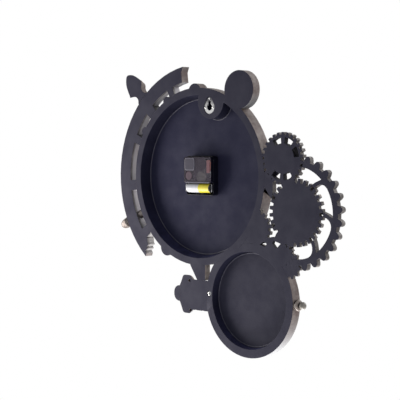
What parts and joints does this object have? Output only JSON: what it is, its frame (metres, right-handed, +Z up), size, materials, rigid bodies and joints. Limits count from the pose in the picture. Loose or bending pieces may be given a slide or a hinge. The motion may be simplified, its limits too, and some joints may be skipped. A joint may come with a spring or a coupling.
{
  "type": "gear wall clock",
  "caption": "Steampunk wall clock: round dished case with arc band, ornamental gears, a smaller gauge dish, a valve and a keyhole hanger, run by a quartz movement with three hands.",
  "frame": {"origin": "nail seat at the top of the hanger's keyhole slot, on the wall plane", "axes": "+Z up as hung, +Y out of the back towards the wall, -Y out of the dial, +X to the right seen from the dial"},
  "size_m": [0.4438, 0.0328, 0.4264],
  "materials": {
    "casting_dark": "matte charcoal paint on cast resin",
    "casting_bronze": "antique bronze paint on cast resin",
    "casting_copper": "aged copper paint on cast resin",
    "chrome": "bright plated",
    "steel": "satin",
    "brass": "satin",
    "copper_wire": "enamelled copper wire",
    "dial_ivory": "matte aged ivory",
    "hand_black": "satin black",
    "hand_red": "satin red",
    "smoke_plastic": "smoked plastic",
    "knob_plastic": "satin",
    "rubber": "matte",
    "board": "solder mask",
    "nylon": "natural acetal",
    "cell_jacket": "printed film jacket"
  },
  "bodies": {
    "clock": {"main_case": "casting_dark", "lower_case": "casting_dark", "slotted_arc": "casting_bronze", "finial": "casting_bronze", "tie_rod": "casting_bronze", "dome_knob": "casting_bronze", "ear_case": "casting_bronze", "ear_bezel": "casting_bronze", "big_gear": "casting_bronze", "idler_gear": "casting_bronze", "lower_bezel": "casting_bronze", "crown_collar": "casting_bronze", "crown_ball": "casting_bronze", "link_strap": "casting_bronze", "valve_body": "casting_bronze", "valve_wheel": "casting_bronze", "valve_cap": "casting_bronze", "main_bezel": "casting_bronze", "middle_gear": "casting_copper", "small_gear": "casting_copper", "lower_pinion": "casting_copper", "hanger_plate": "chrome", "hanger_screw_1": "chrome", "hanger_screw_2": "chrome", "rim_screw": "steel", "contact_plus": "steel", "contact_minus": "steel", "stator": "steel", "middle_gear_cap": "brass", "small_gear_cap": "brass", "ear_pin": "brass", "lower_pin": "brass", "brass_washer": "brass", "hex_nut": "brass", "coil": "copper_wire", "dial_plate": "dial_ivory", "ear_dial": "dial_ivory", "lower_dial": "dial_ivory", "ear_pointer": "hand_red", "lower_pointer": "hand_red", "movement_front_case": "smoke_plastic", "movement_rear_cover": "smoke_plastic", "movement_gasket": "rubber", "circuit_board": "board"},
    "seconds": {"seconds_wheel": "nylon", "second_hand": "hand_red"},
    "third": {"third_wheel": "nylon"},
    "centre": {"centre_wheel": "nylon"},
    "intermediate": {"intermediate_wheel": "nylon"},
    "rotor_body": {"rotor": "nylon"},
    "minutes": {"cannon_pinion": "brass", "minute_hand": "hand_black"},
    "motion": {"motion_wheel": "nylon"},
    "hours": {"hour_wheel": "nylon", "hour_hand": "hand_black"},
    "setting": {"setting_knob": "knob_plastic"},
    "cell": {"battery": "cell_jacket"}
  },
  "joints": [
    {"name": "second_hand_spin", "type": "hinge", "parent": "clock", "child": "seconds", "pos_m": [0.025, -0.03, -0.113], "axis": [0, 1, 0], "continuous": true},
    {"name": "third_wheel_spin", "type": "hinge", "parent": "clock", "child": "third", "pos_m": [0.02346, -0.01, -0.10423], "axis": [0, 1, 0], "continuous": true},
    {"name": "centre_wheel_spin", "type": "hinge", "parent": "clock", "child": "centre", "pos_m": [0.025, -0.011, -0.113], "axis": [0, 1, 0], "continuous": true},
    {"name": "intermediate_wheel_spin", "type": "hinge", "parent": "clock", "child": "intermediate", "pos_m": [0.01605, -0.007, -0.11331], "axis": [0, 1, 0], "continuous": true},
    {"name": "rotor_spin", "type": "hinge", "parent": "clock", "child": "rotor_body", "pos_m": [0.00971, -0.006, -0.11035], "axis": [0, 1, 0], "continuous": true},
    {"name": "minute_hand_spin", "type": "hinge", "parent": "clock", "child": "minutes", "pos_m": [0.025, -0.028, -0.113], "axis": [0, 1, 0], "continuous": true},
    {"name": "motion_wheel_spin", "type": "hinge", "parent": "clock", "child": "motion", "pos_m": [0.03393, -0.012, -0.10975], "axis": [0, 1, 0], "continuous": true},
    {"name": "hour_hand_spin", "type": "hinge", "parent": "clock", "child": "hours", "pos_m": [0.025, -0.026, -0.113], "axis": [0, 1, 0], "continuous": true},
    {"name": "setting_knob_spin", "type": "hinge", "parent": "clock", "child": "setting", "pos_m": [0.04322, -0.003, -0.11173], "axis": [0, 1, 0], "continuous": true},
    {"name": "battery_lift", "type": "slide", "parent": "clock", "child": "cell", "axis": [0, 1, 0], "range_m": [0, 0.025]}
  ],
  "couplings": [
    {"joint": "third_wheel_spin", "follows": "second_hand_spin", "ratio": -0.125},
    {"joint": "centre_wheel_spin", "follows": "second_hand_spin", "ratio": 0.016667},
    {"joint": "intermediate_wheel_spin", "follows": "second_hand_spin", "ratio": -6},
    {"joint": "rotor_spin", "follows": "second_hand_spin", "ratio": 30},
    {"joint": "motion_wheel_spin", "follows": "minute_hand_spin", "ratio": -0.33333},
    {"joint": "hour_hand_spin", "follows": "minute_hand_spin", "ratio": 0.083333},
    {"joint": "setting_knob_spin", "follows": "minute_hand_spin", "ratio": 1}
  ]
}
